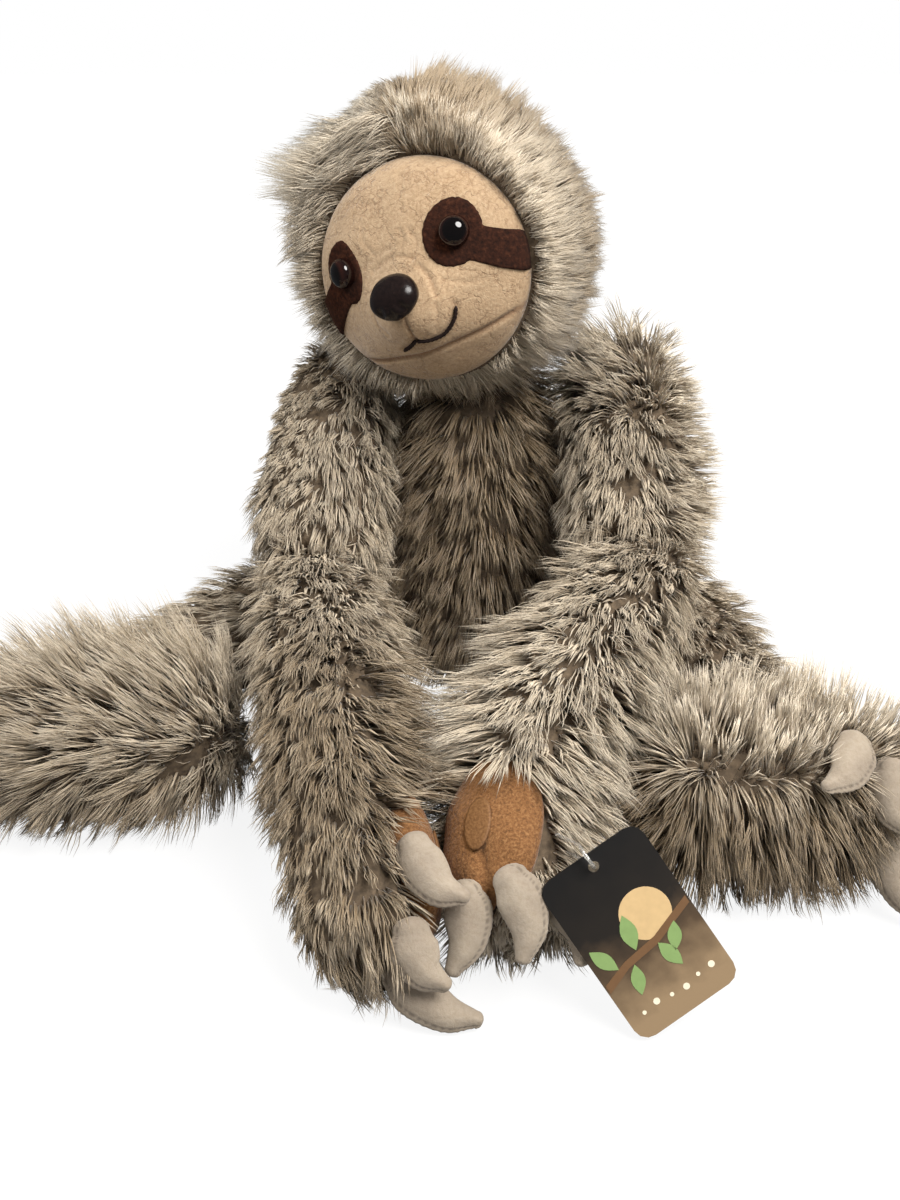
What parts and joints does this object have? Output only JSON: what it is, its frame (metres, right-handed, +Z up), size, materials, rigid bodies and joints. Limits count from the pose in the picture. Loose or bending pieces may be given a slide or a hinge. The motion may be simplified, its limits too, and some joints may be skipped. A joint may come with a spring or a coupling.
{
  "type": "plush sloth",
  "caption": "Sitting long-pile plush sloth with a velour face, eye patches, felt claws, tan palms and a hang tag; neck, shoulders, elbows, hips and ankles swivel.",
  "frame": {"origin": "middle of the flat base that the torso sits on", "axes": "+Z up, the sloth faces -Y, its left side is at +X"},
  "size_m": [0.3915, 0.2995, 0.2617],
  "materials": {
    "long_pile_plush": "matt long pile",
    "face_velour": "short pile",
    "palm_plush": "short looped pile",
    "claw_felt": "brushed felt",
    "eye_patch_cloth": "matt",
    "fastener_tape": "smooth tape",
    "eye_and_nose_plastic": "polished",
    "washer_plastic": "moulded",
    "tag_card": "laminated card"
  },
  "bodies": {
    "torso": {"torso": "long_pile_plush"},
    "head": {"head": "long_pile_plush", "face_panel": "face_velour", "chin_panel": "face_velour", "left_eye_patch": "eye_patch_cloth", "right_eye_patch": "eye_patch_cloth", "left_eye": "eye_and_nose_plastic", "right_eye": "eye_and_nose_plastic", "left_eye_washer": "washer_plastic", "right_eye_washer": "washer_plastic", "nose": "eye_and_nose_plastic", "nose_washer": "washer_plastic"},
    "tag": {"tag_card": "tag_card"},
    "right_upper_arm": {"right_upper_arm": "long_pile_plush"},
    "right_forearm": {"right_forearm": "long_pile_plush", "right_palm": "palm_plush", "right_palm_hook_patch": "fastener_tape", "right_hand_claw_1": "claw_felt", "right_hand_claw_2": "claw_felt", "right_hand_claw_3": "claw_felt"},
    "right_leg": {"right_leg": "long_pile_plush"},
    "right_foot": {"right_foot": "long_pile_plush", "right_foot_claw_1": "claw_felt", "right_foot_claw_2": "claw_felt", "right_foot_claw_3": "claw_felt"},
    "left_upper_arm": {"left_upper_arm": "long_pile_plush"},
    "left_forearm": {"left_forearm": "long_pile_plush", "left_palm": "palm_plush", "left_palm_loop_patch": "fastener_tape", "left_hand_claw_1": "claw_felt", "left_hand_claw_2": "claw_felt", "left_hand_claw_3": "claw_felt", "tag_loop": "washer_plastic"},
    "left_leg": {"left_leg": "long_pile_plush"},
    "left_foot": {"left_foot": "long_pile_plush", "left_foot_claw_1": "claw_felt", "left_foot_claw_2": "claw_felt", "left_foot_claw_3": "claw_felt"}
  },
  "joints": [
    {"name": "neck_turn", "type": "hinge", "parent": "torso", "child": "head", "pos_m": [0, 0, 0.122], "axis": [0, 0, 1], "range_deg": [-5, 50], "stiffness_Nm_per_rad": 0.12},
    {"name": "left_shoulder", "type": "hinge", "parent": "torso", "child": "left_upper_arm", "pos_m": [0.06218, -0.003, 0.132], "axis": [-0.8, 0, 0.6], "range_deg": [0, 50]},
    {"name": "right_shoulder", "type": "hinge", "parent": "torso", "child": "right_upper_arm", "pos_m": [-0.06218, -0.003, 0.127], "axis": [-0.8, 0, -0.6], "range_deg": [0, 50]},
    {"name": "left_elbow", "type": "hinge", "parent": "left_upper_arm", "child": "left_forearm", "pos_m": [0.06218, -0.08957, 0.07998], "axis": [-0.8, 0, 0.6], "range_deg": [0, 30]},
    {"name": "right_elbow", "type": "hinge", "parent": "right_upper_arm", "child": "right_forearm", "pos_m": [-0.06516, -0.08813, 0.07273], "axis": [-0.8, 0, -0.6], "range_deg": [0, 25]},
    {"name": "left_hip", "type": "hinge", "parent": "torso", "child": "left_leg", "pos_m": [0.06216, -0.01634, 0.0305], "axis": [0, 0, 1], "range_deg": [0, 40]},
    {"name": "right_hip", "type": "hinge", "parent": "torso", "child": "right_leg", "pos_m": [-0.06216, -0.01634, 0.0305], "axis": [0, 0, -1], "range_deg": [0, 40]},
    {"name": "left_ankle", "type": "hinge", "parent": "left_leg", "child": "left_foot", "pos_m": [0.10615, -0.12129, 0.027], "axis": [0, 0, 1], "range_deg": [0, 25]},
    {"name": "right_ankle", "type": "hinge", "parent": "right_leg", "child": "right_foot", "pos_m": [-0.15611, -0.08631, 0.027], "axis": [0, 0, -1], "range_deg": [0, 25]},
    {"name": "tag_swing", "type": "hinge", "parent": "left_forearm", "child": "tag", "pos_m": [0.0321, -0.23451, 0.05242], "axis": [-0.8221, -0.2652, -0.5038], "range_deg": [0, 45]}
  ]
}
